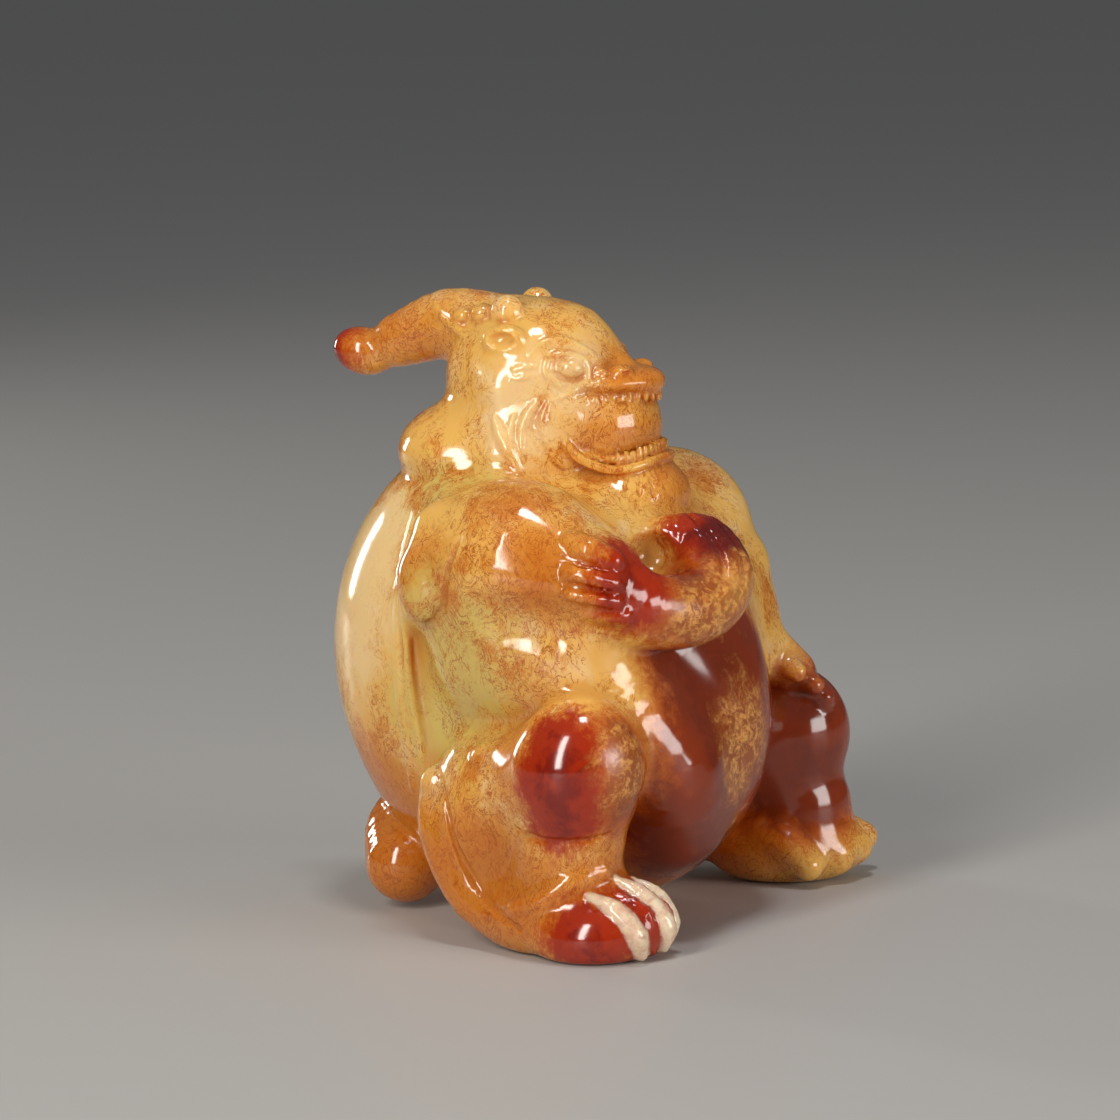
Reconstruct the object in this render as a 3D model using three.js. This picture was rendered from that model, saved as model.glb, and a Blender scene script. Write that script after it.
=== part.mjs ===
// A small seated bear carved from one piece of jade, in millimetres, +Z up.
// The bear faces -Y and its right side is at -X. It sits on its haunches with the
// right paw raised to its chin and the left paw on its knee. The origin is on the
// ground, under the middle of the carving.
//
// The carving is described as a field: a function of a point that gives roughly the
// distance to the surface, negative inside. Eggs and tapered limbs are blended
// together, cuts are blended out of them, and the surface is then meshed.
import * as THREE from "three";

// Driving dimensions of the carving.
const HALF_WIDTH = 14; // of the trunk, without the limbs
const SHOULDER_SPREAD = 13.4;
const RIGHT_KNEE = [-17.6, -10.4, 15.7];
const LEFT_KNEE = [-17, -11.2, 12.8]; // as its mirror on the right
const SEAT = 0; // height of the flat underside
const HEAD_TURN = 10; // degrees that the head looks towards the bear's left
const TRIANGLES = 9600; // budget of the faceted solid
const CELL = 1.1; // of the first, even mesh
const SHORTEST = 0.25; // edge that is kept

// Fields

const { cos, sin, abs, min, max, hypot, sqrt, PI } = Math;
const radians = (degrees) => (degrees * PI) / 180;

// An egg, which is an ellipsoid with its own radii, turned about X, then Y, then Z.
function egg(centre, radii, turn = [0, 0, 0]) {
  const [cx, cy, cz] = centre;
  const [rx, ry, rz] = radii;
  const m = new THREE.Matrix4()
    .makeRotationFromEuler(new THREE.Euler(...turn.map(radians), "ZYX"))
    .invert().elements;
  return (x, y, z) => {
    const [u, v, w] = [x - cx, y - cy, z - cz];
    const a = (m[0] * u + m[4] * v + m[8] * w) / rx;
    const b = (m[1] * u + m[5] * v + m[9] * w) / ry;
    const c = (m[2] * u + m[6] * v + m[10] * w) / rz;
    const scaled = sqrt(a * a + b * b + c * c);
    const steep = hypot(a / rx, b / ry, c / rz) || 1e-9;
    return (scaled * (scaled - 1)) / steep;
  };
}

// A tapered limb through control points of the form [x, y, z, radius].
function limb(...points) {
  const path = new THREE.CatmullRomCurve3(
    points.map((p) => new THREE.Vector3(p[0], p[1], p[2])),
  );
  const last = points.length - 1;
  const steps = last === 1 ? 1 : 4 * last;
  const stops = [];
  for (let i = 0; i <= steps; i++) {
    const t = i / steps;
    const n = min(last - 1, Math.floor(t * last));
    const radius = THREE.MathUtils.lerp(points[n][3], points[n + 1][3], t * last - n);
    stops.push([...path.getPoint(t).toArray(), radius]);
  }
  return (x, y, z) => {
    let nearest = Infinity;
    for (let i = 0; i < steps; i++) {
      const [ax, ay, az, ar] = stops[i];
      const [bx, by, bz, br] = stops[i + 1];
      const [dx, dy, dz] = [bx - ax, by - ay, bz - az];
      const along = (x - ax) * dx + (y - ay) * dy + (z - az) * dz;
      const t = min(1, max(0, along / (dx * dx + dy * dy + dz * dz)));
      const off = hypot(x - ax - t * dx, y - ay - t * dy, z - az - t * dz);
      nearest = min(nearest, off - ar - t * (br - ar));
    }
    return nearest;
  };
}

const softMin = (a, b, soft) => {
  const near = max(soft - abs(a - b), 0) / soft;
  return min(a, b) - (near * near * soft) / 4;
};

// Joins fields with a fillet about as wide as soft.
const join = (soft, ...fields) => (x, y, z) =>
  fields.reduce((d, f) => softMin(d, f(x, y, z), soft), 1e3);

// Takes tools out of a body, with an edge rounded by soft.
const cut = (soft, body, ...tools) => (x, y, z) =>
  tools.reduce((d, f) => -softMin(-d, f(x, y, z), soft), body(x, y, z));

// What two fields share, with an edge rounded by soft.
const common = (soft, a, b) => (x, y, z) => -softMin(-a(x, y, z), -b(x, y, z), soft);

// The same form on both sides, from the one modelled on the bear's right.
const bothSides = (field) => (x, y, z) => field(-abs(x), y, z);

const mirrored = (field) => (x, y, z) => field(-x, y, z);

// A field turned about a vertical axis through the neck.
function turned(field, degrees, axisY) {
  const [c, s] = [cos(radians(degrees)), sin(radians(degrees))];
  return (x, y, z) => field(c * x + s * (y - axisY), -s * x + c * (y - axisY) + axisY, z);
}

// The bear

// The trunk is one big egg, with a full belly that hangs forward between the knees.
function trunk() {
  const ribs = egg([-8.4, -2.6, 25], [8.6, 9, 8]);
  return join(
    4,
    bothSides(ribs),
    egg([0, 2.6, 19], [HALF_WIDTH, 17.4, 19.6]),
    egg([-1, -5.8, 16.2], [10.6, 11.2, 12.9]),
    egg([0, -1, 27], [10.5, 8.4, 8.4]),
  );
}

// The back is a smooth shell that stands a little proud of the flanks, with a rounded
// front edge down each side.
function backShell() {
  const whole = egg([0, 4.8, 21.8], [HALF_WIDTH + 0.7, 16.8, 19]);
  const behindEdge = (x, y, z) => 6.8 + 1.1 * cos((z - 24) / 7) - y;
  return common(1, whole, behindEdge);
}

// A roll of flesh lies under each arm.
function flankRoll() {
  return limb(
    [-14, 0.6, 22.6, 3],
    [-14.2, -3.4, 22.8, 3.9],
    [-13.6, -7.6, 22.7, 4],
    [-12.4, -10, 21.4, 3.4],
  );
}

// On the right the belly runs down from that roll in a soft fold.
function bellyFold() {
  return limb(
    [-13.2, -8.2, 22.3, 3.4],
    [-11.4, -11.2, 18.6, 3.9],
    [-9, -13, 14.8, 4],
    [-5.4, -11.6, 10.4, 3.6],
  );
}

// A folded leg, modelled on the bear's right, with a big round knee. The ankle is the
// lower end of the shank. The left leg is set further forward than the right.
function leg([kneeX, kneeY, kneeZ], ankle, foot) {
  const thigh = join(
    2.4,
    egg([-12.2, -0.6, 9.4], [6.6, 7.2, 9]),
    limb([-12.5, -2, 11.4, 6.2], [kneeX, kneeY + 1.4, kneeZ - 0.8, 4.8]),
    egg([kneeX, kneeY, kneeZ], [4.6, 4.8, 5.4]),
  );
  const shank = join(2, limb([kneeX + 0.6, kneeY + 1, kneeZ - 3.6, 4.2], ankle), foot);
  return join(1.4, thigh, shank, fringe(ankle));
}

// A fringe of fur runs down the back of each leg, from the hip to the heel.
function fringe([ankleX, ankleY]) {
  return limb(
    [-15.4, 4.8, 12.4, 1.3],
    [-16.2, 4, 9, 1.8],
    [-17, 0.4, 3.8, 2],
    [ankleX - 1, ankleY + 2.2, 1.6, 1.8],
  );
}

// The right foot has a domed outer toe, and three claws that curve down to the ground.
function rightLeg() {
  const foot = join(
    1.6,
    egg([-16, -8, 2.8], [4.8, 7.8, 3.6], [0, 0, 6]),
    egg([-16.4, -12.2, 2.4], [4.4, 4.4, 3.2]),
    egg([-19.4, -10.6, 1.8], [2.4, 3.8, 2.3]),
  );
  const claws = [
    limb([-19.2, -11.4, 4.4, 0.9], [-18.9, -13.6, 3.4, 1.3], [-18.2, -14.8, 1, 1.1]),
    limb([-16.9, -12.4, 5.2, 0.9], [-16.4, -14.6, 4, 1.3], [-15.8, -16, 1, 1.1]),
    limb([-14.6, -12.8, 5.2, 0.8], [-14.1, -15, 3.9, 1.2], [-13.4, -16.1, 1, 1]),
  ];
  return join(0.5, leg(RIGHT_KNEE, [-16.3, -7.4, 5.2, 4.4], foot), ...claws);
}

// The left foot is splayed, and its four round toes are lifted a little off the ground.
function leftLeg() {
  const foot = egg([-16.4, -10.6, 2.7], [4.8, 6.8, 3.4], [0, 0, -22]);
  const toes = [
    limb([-13.2, -10, 4.4, 1.3], [-13, -12.6, 3.4, 1.5], [-13.2, -14.4, 1.9, 1.3]),
    limb([-15.4, -10.4, 4.8, 1.3], [-15.8, -13.6, 3.9, 1.6], [-16.2, -15.6, 2.3, 1.4]),
    limb([-17.4, -10.2, 4.8, 1.3], [-18.4, -13.8, 4, 1.6], [-19.3, -15.9, 2.6, 1.4]),
    limb([-18.6, -9.4, 4.6, 1.2], [-20.6, -13, 4, 1.5], [-21.9, -15.2, 2.9, 1.3]),
  ];
  return mirrored(join(0.8, leg(LEFT_KNEE, [-17.1, -11.8, 6.4, 4.3], foot), ...toes));
}

// The tail comes off the foot of the back and curls round to the right.
function tail() {
  return limb([0, 16.2, 8, 2.2], [-3.6, 15.8, 6, 2.8], [-6.6, 13.4, 3.8, 3.4]);
}

// Each shoulder is a big dome.
function shoulder() {
  return join(
    3,
    egg([-SHOULDER_SPREAD, -1.2, 30.4], [5.8, 7.6, 6.8]),
    limb([-14.2, 3.2, 31, 3.2], [-15.2, 5.2, 28.2, 1.8]),
  );
}

// A round lock of fur hangs behind each elbow.
function elbowLock() {
  return join(1.2, egg([-16.9, 3.9, 29.8], [2.2, 2.8, 3.7], [0, 12, 0]), egg([-15, 3, 33], [2.4, 3.4, 3]));
}

// The right arm reaches forward across the chest and bends up to the chin.
function rightUpperArm() {
  return limb([-14, -4, 30.8, 5.4], [-14.2, -9.4, 29.5, 4.3]);
}

function rightForearm() {
  return limb(
    [-14.2, -9.6, 29.5, 4.1],
    [-11.4, -13.2, 27.4, 3.3],
    [-7, -15.1, 27, 3],
    [-3.1, -14.8, 28.8, 3.2],
    [-1.8, -12.7, 31, 2.8],
    [-2.8, -10.2, 31.6, 2.2],
  );
}

// Four locks of fur sweep back from the right forearm.
function armLocks() {
  const tips = [
    [-18.2, -8.8, 33.4],
    [-18.8, -8.6, 31.4],
    [-18.6, -8.8, 29.4],
    [-17.8, -9, 27.6],
  ];
  return join(
    0.5,
    ...tips.map(([x, y, z]) =>
      limb([x, y, z, 0.9], [x + 0.4, y - 2, z - 0.6, 1.3], [-14.6, -13, 27.8 + z / 30, 1.4]),
    ),
  );
}

// The left arm hangs down and its paw rests on the knee.
function leftArm() {
  return join(
    2,
    limb([13.6, -3.6, 29.4, 4.8], [13.8, -6.7, 27, 3.8]),
    limb([11.8, -6.4, 26.2, 3], [13, -9.6, 21.4, 2.4], [15.2, -12.8, 17.6, 2.2]),
  );
}

// The hollow ground between the raised arm, the chest and the chin.
function armHollow() {
  return limb([-12.4, -15.4, 32.6, 1.9], [-8.4, -12.4, 31.4, 2.1], [-5.4, -10.2, 30.8, 1.9]);
}

// The head is modelled as if it looked straight ahead.
function skull() {
  const cheek = egg([-3.6, 0.6, 40.6], [3.4, 4.2, 5]);
  const brow = egg([-2.9, -1.2, 45.9], [2.2, 2.3, 1.2]);
  const crown = join(
    2.2,
    egg([0, 3.6, 44.5], [7.2, 7.4, 6.6]),
    egg([0, 4.4, 38.4], [8.2, 7.4, 6.6]),
    limb([0, 0, 46.2, 3.3], [0, -3.8, 44.8, 1.5]),
  );
  return join(1.2, crown, bothSides(cheek), bothSides(brow));
}

// The jaws stand apart, and between them the mouth is filled up to just behind the lips.
function muzzle() {
  return join(
    0.6,
    egg([0, -2, 44.2], [5, 5.4, 1.5]),
    egg([0, -5.9, 44], [2.2, 1.65, 1.25]),
    egg([0, -1.5, 40.4], [5.6, 5.7, 5.4]),
    egg([0, -5, 34.7], [5.6, 4.5, 3.3]),
    egg([0, -3.4, 37.2], [4.7, 4.2, 1.5]),
  );
}

function lips() {
  return limb(
    [-6.2, -1, 40.4, 0.6],
    [-5.8, -2.4, 38.4, 0.8],
    [-4.6, -5, 37.8, 0.8],
    [-2.6, -7, 38, 0.8],
    [0, -7.6, 38.2, 0.8],
  );
}

function ears() {
  return join(0.6, egg([-5.85, 4, 48], [1.2, 2, 1.4]), egg([-3.4, 5, 49.9], [1.2, 2.4, 0.9]));
}

function eyes() {
  return egg([-4.6, -1.3, 45.35], [1.2, 1.7, 1.3]);
}

function mane() {
  return egg([0, 9, 38.4], [8.2, 6.2, 4.3]);
}

function horn() {
  return join(
    1,
    limb([0, 6, 47.8, 3.4], [0, 11, 48.7, 3], [0, 15.4, 47.4, 2.3]),
    egg([0, 18.8, 46.4], [2.1, 2.7, 2], [14, 0, 0]),
  );
}

function head() {
  const solid = join(0.8, join(0.5, skull(), muzzle()), horn());
  const features = join(0.5, solid, bothSides(lips()), bothSides(ears()), bothSides(eyes()));
  return turned(join(1.4, features, mane()), HEAD_TURN, 5);
}

function bear() {
  const torso = join(1.6, trunk(), backShell());
  const arms = join(4, torso, bothSides(shoulder()), rightUpperArm());
  const flanks = join(4, arms, bothSides(flankRoll()), bellyFold());
  const limbs = join(1.1, flanks, rightLeg(), leftLeg(), leftArm());
  const fine = join(0.7, limbs, tail(), rightForearm(), bothSides(elbowLock()), armLocks());
  const hollowed = cut(0.5, fine, armHollow());
  const withHead = join(1, hollowed, head());
  const aboveSeat = (x, y, z) => SEAT - z;
  return common(0.6, withHead, aboveSeat);
}

// Meshing

const REACH = { low: [-27, -24, -3], high: [27, 25, 56] };

// A cell's corners are numbered by the bits x, y and z. Its six tetrahedra share the
// long diagonal.
const TETRAHEDRA = [
  [0, 1, 3, 7],
  [0, 3, 2, 7],
  [0, 2, 6, 7],
  [0, 6, 4, 7],
  [0, 4, 5, 7],
  [0, 5, 1, 7],
];

// The edges that the surface crosses in a tetrahedron, in order around the cut, for
// each set of corners inside. The sets left out are the reverse of their opposites.
const SLICES = {
  1: [[0, 1], [0, 2], [0, 3]],
  2: [[1, 0], [1, 3], [1, 2]],
  4: [[2, 0], [2, 1], [2, 3]],
  8: [[3, 0], [3, 2], [3, 1]],
  3: [[0, 2], [0, 3], [1, 3], [1, 2]],
  5: [[0, 3], [0, 1], [2, 1], [2, 3]],
  9: [[0, 1], [0, 2], [3, 2], [3, 1]],
};

// A fine, even mesh of the field's surface.
function evenMesh(field, cell) {
  const [nx, ny, nz] = REACH.low.map((v, i) => Math.ceil((REACH.high[i] - v) / cell));
  const strides = [1, nx + 1, (nx + 1) * (ny + 1)];
  const place = (n) => [
    REACH.low[0] + (n % strides[1]) * cell,
    REACH.low[1] + (Math.floor(n / strides[1]) % (ny + 1)) * cell,
    REACH.low[2] + Math.floor(n / strides[2]) * cell,
  ];
  const value = new Float64Array(strides[2] * (nz + 1));
  for (let n = 0; n < value.length; n++) value[n] = field(...place(n)) || 1e-9;
  const vertices = [];
  const vertexOf = new Map();
  const crossing = (a, b) => {
    const key = min(a, b) * value.length + max(a, b);
    if (!vertexOf.has(key)) {
      const t = value[a] / (value[a] - value[b]);
      const [p, q] = [place(a), place(b)];
      vertexOf.set(key, vertices.length);
      vertices.push(p.map((v, i) => v + t * (q[i] - v)));
    }
    return vertexOf.get(key);
  };
  const faces = [];
  const corner = (n) => (n & 1) * strides[0] + ((n >> 1) & 1) * strides[1] + (n >> 2) * strides[2];
  for (let k = 0; k < nz; k++)
    for (let j = 0; j < ny; j++)
      for (let i = 0; i < nx; i++) {
        const cube = i * strides[0] + j * strides[1] + k * strides[2];
        for (const tetrahedron of TETRAHEDRA) {
          const at = tetrahedron.map((n) => cube + corner(n));
          const inside = at.reduce((set, n, bit) => set | (value[n] < 0 ? 1 << bit : 0), 0);
          if (inside === 0 || inside === 15) continue;
          const ring = (SLICES[inside] ?? SLICES[15 - inside]).map(([p, q]) => crossing(at[p], at[q]));
          if (!SLICES[inside]) ring.reverse();
          for (let n = 2; n < ring.length; n++) faces.push([ring[0], ring[n - 1], ring[n]]);
        }
      }
  return { vertices, faces };
}

const minus = (a, b) => [a[0] - b[0], a[1] - b[1], a[2] - b[2]];
const dot = (a, b) => a[0] * b[0] + a[1] * b[1] + a[2] * b[2];
const cross = (a, b) => [
  a[1] * b[2] - a[2] * b[1],
  a[2] * b[0] - a[0] * b[2],
  a[0] * b[1] - a[1] * b[0],
];
const areaOf = (p, q, r) => cross(minus(q, p), minus(r, p));

// The weighted squares of the distances to the planes of a face, as the ten numbers
// of a symmetric 4 x 4 matrix.
function planeError(p, q, r) {
  const area = areaOf(p, q, r);
  const size = hypot(...area) || 1e-12;
  const [a, b, c] = area.map((v) => v / size);
  const d = -dot([a, b, c], p);
  return [a * a, a * b, a * c, a * d, b * b, b * c, b * d, c * c, c * d, d * d].map((v) => v * size);
}

const errorAt = (m, [x, y, z]) =>
  m[0] * x * x + m[4] * y * y + m[7] * z * z + m[9] +
  2 * (m[1] * x * y + m[2] * x * z + m[3] * x + m[5] * y * z + m[6] * y + m[8] * z);

// Merges the ends of the shortest edges, and then of those that shape the surface least,
// in rounds, until the mesh meets the budget of triangles.
function simplify({ vertices, faces }, budget) {
  const errors = vertices.map(() => new Array(10).fill(0));
  for (const face of faces) {
    const error = planeError(...face.map((v) => vertices[v]));
    for (const v of face) error.forEach((e, i) => (errors[v][i] += e));
  }
  for (let round = 0; faces.length > budget && round < 80; round++) {
    const around = vertices.map(() => []);
    faces.forEach((face, n) => face.forEach((v) => around[v].push(n)));
    const edges = [];
    for (const [a, b, c] of faces)
      for (const [p, q] of [[a, b], [b, c], [c, a]]) {
        if (p > q) continue;
        const sum = errors[p].map((e, i) => e + errors[q][i]);
        const middle = vertices[p].map((v, i) => (v + vertices[q][i]) / 2);
        const length = hypot(...minus(vertices[p], vertices[q]));
        const [best] = [middle, vertices[p], vertices[q]]
          .map((place) => ({ place, cost: length < SHORTEST ? -1 : errorAt(sum, place) }))
          .sort((m, n) => m.cost - n.cost);
        edges.push({ p, q, sum, ...best });
      }
    edges.sort((m, n) => m.cost - n.cost);
    const still = new Uint8Array(vertices.length).fill(1);
    let left = faces.length;
    for (const { p, q, sum, place } of edges.slice(0, Math.ceil(edges.length / 6))) {
      if (left <= budget) break;
      const ring = [...around[p], ...around[q]].map((n) => faces[n]);
      if (!ring.every((face) => face && face.every((v) => still[v]))) continue;
      const beside = (v) => new Set(around[v].flatMap((n) => faces[n]));
      const shared = [...beside(p)].filter((v) => beside(q).has(v));
      if (shared.length !== 4) continue;
      const turns = ring.some((face) => {
        if (face.includes(p) && face.includes(q)) return false;
        const before = areaOf(...face.map((v) => vertices[v]));
        const after = areaOf(...face.map((v) => (v === p || v === q ? place : vertices[v])));
        const sizes = hypot(...before) * hypot(...after);
        return hypot(...after) < 1e-4 || (hypot(...before) > 1e-3 && dot(before, after) < 0.3 * sizes);
      });
      if (turns) continue;
      for (const face of ring) for (const v of face) still[v] = 0;
      vertices[p] = place;
      errors[p] = sum;
      for (const n of around[q]) {
        if (faces[n].includes(p)) faces[n] = null;
        else faces[n] = faces[n].map((v) => (v === q ? p : v));
      }
      left -= 2;
    }
    faces = faces.filter(Boolean);
  }
  return { vertices, faces };
}

// Moves a point along the field's slope, onto the surface.
function snap(field, point, steps) {
  const tiny = 0.02;
  let [x, y, z] = point;
  for (let n = 0; n < steps; n++) {
    const d = field(x, y, z);
    const gx = (field(x + tiny, y, z) - field(x - tiny, y, z)) / (2 * tiny);
    const gy = (field(x, y + tiny, z) - field(x, y - tiny, z)) / (2 * tiny);
    const gz = (field(x, y, z + tiny) - field(x, y, z - tiny)) / (2 * tiny);
    const step = min(0.3, max(-0.3, d)) / max(0.3, gx * gx + gy * gy + gz * gz);
    [x, y, z] = [x - step * gx, y - step * gy, z - step * gz];
  }
  return [x, y, z];
}

// Lays what is all but on the ground flat on it.
const seated = ([x, y, z]) => [x, y, abs(z - SEAT) < 0.05 ? SEAT : z];

function solidOf(field) {
  const fine = evenMesh(field, CELL);
  fine.vertices = fine.vertices.map((p) => snap(field, p, 1));
  const coarse = simplify(fine, 1.05 * TRIANGLES);
  coarse.vertices = coarse.vertices.map((p) => snap(field, p, 4));
  const { vertices, faces } = simplify(coarse, TRIANGLES);
  const used = [...new Set(faces.flat())];
  const renumbered = new Map(used.map((v, n) => [v, n]));
  const points = used.map((v) => seated(vertices[v]));
  const solid = new THREE.BufferGeometry()
    .setAttribute("position", new THREE.Float32BufferAttribute(points.flat(), 3))
    .setIndex(faces.flat().map((v) => renumbered.get(v)));
  solid.computeBoundingBox();
  const middle = solid.boundingBox.getCenter(new THREE.Vector3());
  return solid.translate(-middle.x, -middle.y, 0);
}

const jade = new THREE.MeshStandardMaterial({ color: 0xc98f45, roughness: 0.18, metalness: 0 });

const carving = new THREE.Mesh(solidOf(bear()), jade);
carving.name = "bear_carving";

const group = new THREE.Group();
group.add(carving);

export default group;
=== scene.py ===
from math import cos, pi, radians, sin

import bpy
import numpy as np
from mathutils import Matrix, Vector


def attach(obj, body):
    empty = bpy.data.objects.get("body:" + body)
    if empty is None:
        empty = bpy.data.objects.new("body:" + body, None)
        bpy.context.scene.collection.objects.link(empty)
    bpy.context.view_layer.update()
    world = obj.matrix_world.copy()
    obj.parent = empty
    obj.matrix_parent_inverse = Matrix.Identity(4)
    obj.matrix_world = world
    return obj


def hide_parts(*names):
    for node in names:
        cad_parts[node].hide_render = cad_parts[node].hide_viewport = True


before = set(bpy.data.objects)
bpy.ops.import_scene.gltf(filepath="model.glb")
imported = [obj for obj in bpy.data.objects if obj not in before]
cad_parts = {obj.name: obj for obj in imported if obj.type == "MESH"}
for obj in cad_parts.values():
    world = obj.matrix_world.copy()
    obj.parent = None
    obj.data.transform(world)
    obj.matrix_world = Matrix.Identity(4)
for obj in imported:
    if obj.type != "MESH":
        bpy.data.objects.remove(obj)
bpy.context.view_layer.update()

# The trunk is the pebble's main mass: chest, belly and the broad back of a seated bear, ground
# round on a wheel and polished. A raised shell of the paler stone runs down the back, and a
# roll of flesh lies along each flank.

# A form is a field: a function of points, in millimetres, that gives about how far each is
# from the surface. It is below 0 inside, and FAR at most.
FAR = 6.0


def egg(centre, radii, turn=(0, 0, 0)):
    """An ellipsoid, turned about x, y and z in degrees."""
    c, r = np.array(centre, float), np.array(radii, float)
    ax, ay, az = (radians(t) for t in turn)
    about_x = np.array([[1, 0, 0], [0, cos(ax), -sin(ax)], [0, sin(ax), cos(ax)]])
    about_y = np.array([[cos(ay), 0, sin(ay)], [0, 1, 0], [-sin(ay), 0, cos(ay)]])
    about_z = np.array([[cos(az), -sin(az), 0], [sin(az), cos(az), 0], [0, 0, 1]])
    m = about_z @ about_y @ about_x

    def field(p):
        out = np.full(len(p), FAR)
        near = (np.abs(p - c) < r.max() + FAR).all(1)
        q = (p[near] - c) @ m / r
        scaled = np.sqrt((q * q).sum(1))
        steep = np.sqrt(((q / r) ** 2).sum(1)) + 1e-9
        out[near] = np.minimum(scaled * (scaled - 1) / steep, FAR)
        return out
    return field


def spline(points, steps=4):
    """A smooth path through points. A fourth number, a radius, changes evenly between them."""
    p = np.array(points, float)
    if len(p) == 2:
        return p
    ends = np.vstack([2 * p[0] - p[1], p, 2 * p[-1] - p[-2]])
    out = []
    for i in range(len(p) - 1):
        a, b, c, d = ends[i:i + 4]
        pairs = ((a, b), (b, c), (c, d))
        dt = [max(1e-4, np.linalg.norm((v - u)[:3]) ** 0.5) for u, v in pairs]
        t1 = ((b - a) / dt[0] - (c - a) / (dt[0] + dt[1]) + (c - b) / dt[1]) * dt[1]
        t2 = ((c - b) / dt[1] - (d - b) / (dt[1] + dt[2]) + (d - c) / dt[2]) * dt[1]
        for j in range(steps):
            t = j / steps
            v = b + t1 * t + (3 * (c - b) - 2 * t1 - t2) * t * t + (2 * (b - c) + t1 + t2) * t ** 3
            v[3:] = b[3:] + (c[3:] - b[3:]) * t
            out.append(v)
    return np.array(out + [p[-1]])


def limb(*points, steps=4):
    """A round limb along a path of (x, y, z, radius)."""
    s = spline(points, steps)
    low = (s[:, :3] - s[:, 3:4]).min(0) - FAR
    high = (s[:, :3] + s[:, 3:4]).max(0) + FAR

    def field(p):
        out = np.full(len(p), FAR)
        near = ((p > low) & (p < high)).all(1)
        q = p[near]
        best = np.full(len(q), FAR)
        for a, b in zip(s[:-1], s[1:]):
            d = b[:3] - a[:3]
            t = np.clip((q - a[:3]) @ d / (d @ d), 0, 1)
            off = np.linalg.norm(q - a[:3] - t[:, None] * d, axis=1)
            best = np.minimum(best, off - a[3] - t * (b[3] - a[3]))
        out[near] = best
        return out
    return field


def soft_min(a, b, soft):
    """The smaller of two distances, eased where they differ by less than `soft`."""
    near = np.maximum(soft - np.abs(a - b), 0) / soft
    return np.minimum(a, b) - near * near * soft / 4


def join(soft, *fields):
    """The forms run into each other over about `soft`."""
    def field(p):
        d = fields[0](p)
        for f in fields[1:]:
            d = soft_min(d, f(p), soft)
        return d
    return field


def cut(soft, body, *tools):
    """The tools are ground out of the body."""
    def field(p):
        d = body(p)
        for f in tools:
            d = -soft_min(-d, f(p), soft)
        return d
    return field


def common(soft, a, b):
    """What two forms share."""
    return lambda p: -soft_min(-a(p), -b(p), soft)


def both_sides(field):
    """A form of the bear's right, x below 0, and its mirror on the left."""
    return lambda p: field(np.column_stack([-np.abs(p[:, 0]), p[:, 1:]]))


def mirrored(field):
    """A form of the bear's right, moved to its left."""
    return lambda p: field(p * [-1, 1, 1])


def slope(field, p):
    """How fast a field grows along x, y and z: the way out of the form."""
    tiny = 0.02
    g = np.empty_like(p)
    for i in range(3):
        step = np.zeros(3)
        step[i] = tiny
        g[:, i] = (field(p + step) - field(p - step)) / (2 * tiny)
    return g


def snap(field, p, steps, reach):
    """Moves points onto the field's surface, by about `reach` at most in one step."""
    least_slope = 0.3
    for _ in range(steps):
        d, g = field(p), slope(field, p)
        k = np.clip(d, -reach, reach) / np.maximum((g * g).sum(1), least_slope)
        p = p - k[:, None] * g
    return p


def laid(body, points, radii, sink, reach=1.5):
    """Points of a path laid on a body's surface, with radii, sunk by part of the radius."""
    p = snap(body, np.array(points, float), steps=8, reach=reach)
    g = slope(body, p)
    r = np.array(radii, float)[:, None]
    return np.hstack([p - g / np.linalg.norm(g, axis=1, keepdims=True) * r * sink, r])


def tuft(body, radii, *points, sink=0.35):
    """A thick tapering lock or claw that follows the surface."""
    return limb(*laid(body, points, radii, sink, reach=2), steps=6)


def ridge(body, radius, *points, sink=0.3):
    """A thin line that follows the surface, narrow at both ends."""
    end_share = 0.45
    radii = np.full(len(points), radius)
    radii[[0, -1]] *= end_share
    return limb(*laid(body, points, radii, sink))


HALF_WIDTH = 14.0
SHELL_LIFT = 0.7
SHELL_EDGE, EDGE_BOW, BOW_HEIGHT, BOW_LENGTH = 6.8, 1.1, 24, 7


def behind_edge(p):
    """All that lies behind the shell's edge, which bows back half-way up the trunk."""
    return SHELL_EDGE + EDGE_BOW * np.cos((p[:, 2] - BOW_HEIGHT) / BOW_LENGTH) - p[:, 1]


ribs = egg([-8.4, -2.6, 25], [8.6, 9, 8])
neck = egg([-6, 4.4, 34.4], [5, 5, 3.4])
trunk = join(4, both_sides(ribs), egg([0, 2.6, 19], [HALF_WIDTH, 17.4, 19.6]),
             egg([-1, -5.8, 16.2], [10.6, 11.2, 12.9]), egg([0, -1, 27], [10.5, 8.4, 8.4]))
back = egg([0, 4.8, 21.8], [HALF_WIDTH + SHELL_LIFT, 16.8, 19])
shell = common(1, back, behind_edge)
torso = join(1.6, join(2.5, trunk, both_sides(neck)), shell)
flank_roll = limb([-13.4, 0.6, 22.6, 3.0], [-13.8, -3.4, 22.9, 4.1], [-13.4, -7.0, 22.7, 4.1],
                  [-12.2, -9.2, 20.6, 3.0])
belly_fold = limb([-12.4, -8.6, 20.4, 3.2], [-11.2, -11.4, 17.2, 3.9], [-9, -13.2, 13.4, 4.0],
                  [-5.4, -11.6, 9.4, 3.6])

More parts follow.
